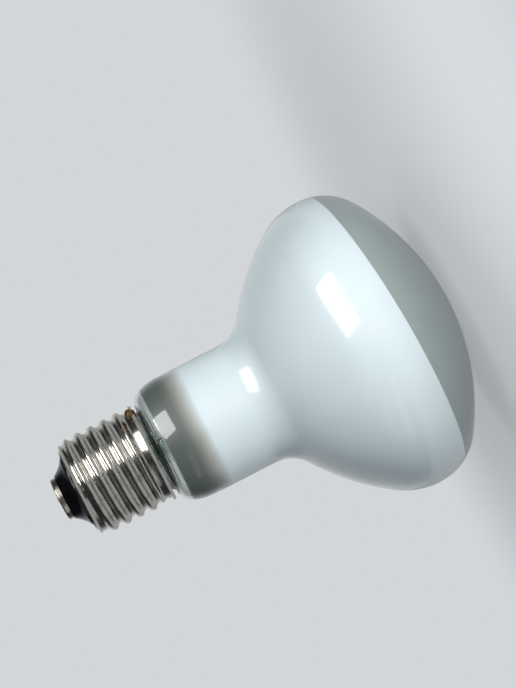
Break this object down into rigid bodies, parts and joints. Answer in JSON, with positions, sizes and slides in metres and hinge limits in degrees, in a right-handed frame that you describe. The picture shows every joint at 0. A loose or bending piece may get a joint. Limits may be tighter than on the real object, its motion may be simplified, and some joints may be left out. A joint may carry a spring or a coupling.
{
  "type": "reptile heat lamp",
  "caption": "Reflector heat lamp for a reptile tank: white-coated glass bowl, frosted domed face, cylindrical neck and a threaded metal screw cap with a side solder joint.",
  "frame": {"origin": "on the lamp's axis, where the middle of the domed face touches the ground", "axes": "+Z along the lamp's axis from the face up to the cap's contact; +X towards the solder joint on the cap's rim"},
  "size_m": [0.08, 0.08, 0.1108],
  "materials": {
    "coated_glass": "glossy blown glass, coated white inside behind its widest circle and frosted inside on the face",
    "plated_cap": "bright nickel plate on rolled brass sheet",
    "black_glass": "glossy cast black glass",
    "contact_brass": "pressed brass, thinly plated and a little tarnished",
    "solder": "dull tin solder with a brown flux stain",
    "cement": "matt, grainy",
    "stem_glass": "clear",
    "shield_sheet": "bright rolled sheet",
    "copper_wire": "bare copper and copper-clad wire",
    "nickel_wire": "drawn nickel",
    "tungsten": "dark drawn wire"
  },
  "bodies": {
    "root": {"glass_envelope": "coated_glass", "cap_shell": "plated_cap", "cap_insulator": "black_glass", "centre_contact": "contact_brass", "centre_solder": "solder", "side_solder": "solder", "cap_cement": "cement", "stem_flare": "stem_glass", "exhaust_tube": "stem_glass", "stem_rod": "stem_glass", "heat_shield": "shield_sheet", "centre_lead": "copper_wire", "side_lead": "copper_wire", "centre_seal_lead": "copper_wire", "side_seal_lead": "copper_wire", "centre_inner_lead": "nickel_wire", "side_inner_lead": "nickel_wire", "filament": "tungsten", "filament_support_1": "tungsten", "filament_support_2": "tungsten", "filament_support_3": "tungsten", "filament_support_4": "tungsten"}
  },
  "joints": []
}
